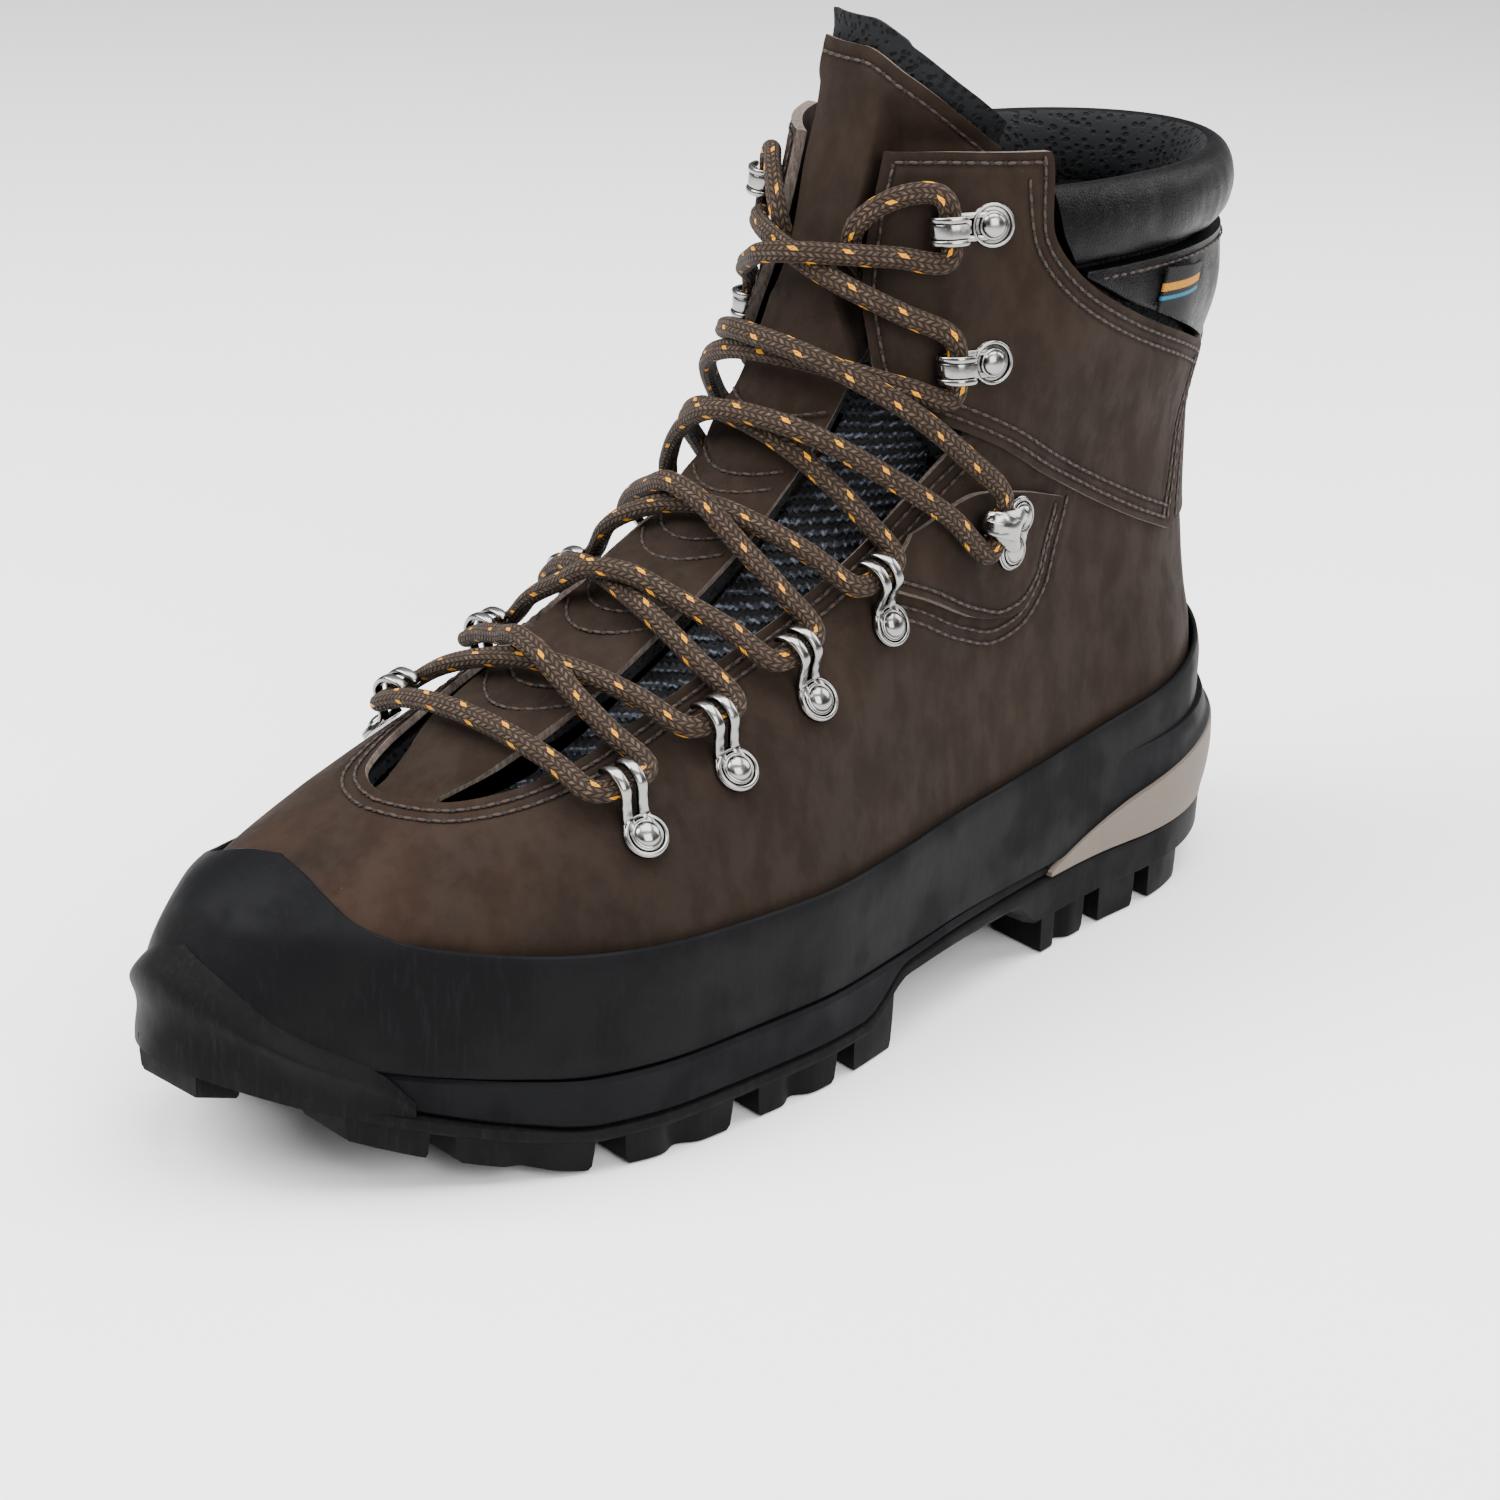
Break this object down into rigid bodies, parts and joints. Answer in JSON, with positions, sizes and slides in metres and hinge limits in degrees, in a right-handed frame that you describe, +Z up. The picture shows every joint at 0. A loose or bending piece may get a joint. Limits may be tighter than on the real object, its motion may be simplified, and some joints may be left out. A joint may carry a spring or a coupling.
{
  "type": "hiking boot",
  "caption": "Laced leather hiking boot with a rubber rand and lugged sole, a tongue that folds into the shaft and a lift-out insole.",
  "frame": {"origin": "centre of the boot's box in plan, on the ground under the lugs", "axes": "+Z up, -Y towards the toe, +Y towards the heel, +X towards the outer (lateral) side of this left boot"},
  "size_m": [0.1082, 0.3052, 0.206],
  "materials": {
    "outsole_rubber": "matte moulded rubber, lightly dusted",
    "midsole_rubber": "matte moulded rubber",
    "rand_rubber": "matte rubber sheet with brushed scuffs",
    "insert": "taupe speckled foam rubber",
    "board": "pressed fibreboard",
    "steel": "plain spring steel",
    "insole_foam": "foam with a woven cover",
    "nubuck": "dark brown nubuck with pale cut edges",
    "collar_leather": "smooth black padded leather",
    "mesh_lining": "black padded spacer mesh",
    "webbing": "black ribbed knit",
    "nickel": "bright nickel plate",
    "lace": "brown round braid with tan and yellow flecks",
    "lace_tip": "heat-shrunk plastic",
    "tag": "woven striped ribbon"
  },
  "bodies": {
    "boot": {"outsole": "outsole_rubber", "midsole": "midsole_rubber", "heel_insert": "insert", "heel_cradle": "midsole_rubber", "shank": "steel", "lasting_board": "board", "lower_leather": "nubuck", "vamp_lining": "mesh_lining", "rand": "rand_rubber", "toe_puff": "board", "heel_counter": "board", "ankle_panel_lateral": "nubuck", "ankle_panel_medial": "nubuck", "wing_lateral": "nubuck", "wing_medial": "nubuck", "back_stay": "nubuck", "collar_band": "collar_leather", "shaft_lining": "mesh_lining", "collar_roll": "collar_leather", "side_tag": "tag", "gusset_lateral": "webbing", "gusset_medial": "webbing", "eyelet_1_lateral": "nickel", "eyelet_2_lateral": "nickel", "eyelet_3_lateral": "nickel", "eyelet_4_lateral": "nickel", "ankle_hook_lateral": "nickel", "hook_1_lateral": "nickel", "hook_2_lateral": "nickel", "eyelet_1_medial": "nickel", "eyelet_2_medial": "nickel", "eyelet_3_medial": "nickel", "eyelet_4_medial": "nickel", "ankle_hook_medial": "nickel", "hook_1_medial": "nickel", "hook_2_medial": "nickel", "rivet_eyelet_1_lateral": "nickel", "rivet_eyelet_2_lateral": "nickel", "rivet_eyelet_3_lateral": "nickel", "rivet_eyelet_4_lateral": "nickel", "rivet_a_ankle_hook_lateral": "nickel", "rivet_b_ankle_hook_lateral": "nickel", "rivet_hook_1_lateral": "nickel", "rivet_hook_2_lateral": "nickel", "rivet_eyelet_1_medial": "nickel", "rivet_eyelet_2_medial": "nickel", "rivet_eyelet_3_medial": "nickel", "rivet_eyelet_4_medial": "nickel", "rivet_a_ankle_hook_medial": "nickel", "rivet_b_ankle_hook_medial": "nickel", "rivet_hook_1_medial": "nickel", "rivet_hook_2_medial": "nickel", "lace": "lace", "lace_tip_lateral": "lace_tip", "lace_tip_medial": "lace_tip"},
    "tongue": {"tongue_leather": "nubuck", "tongue_pad": "mesh_lining"},
    "footbed": {"insole": "insole_foam"}
  },
  "joints": [
    {"name": "tongue_hinge", "type": "hinge", "parent": "boot", "child": "tongue", "pos_m": [-0.00115, -0.0968, 0.066], "axis": [1, 0, 0], "range_deg": [-12, 0], "stiffness_Nm_per_rad": 0.35, "springref_deg": 14.32, "deforming": ["gusset_lateral", "gusset_medial"]},
    {"name": "insole_lift", "type": "hinge", "parent": "boot", "child": "footbed", "pos_m": [-0.00115, -0.1408, 0.035], "axis": [1, 0, 0], "range_deg": [0, 6]}
  ]
}
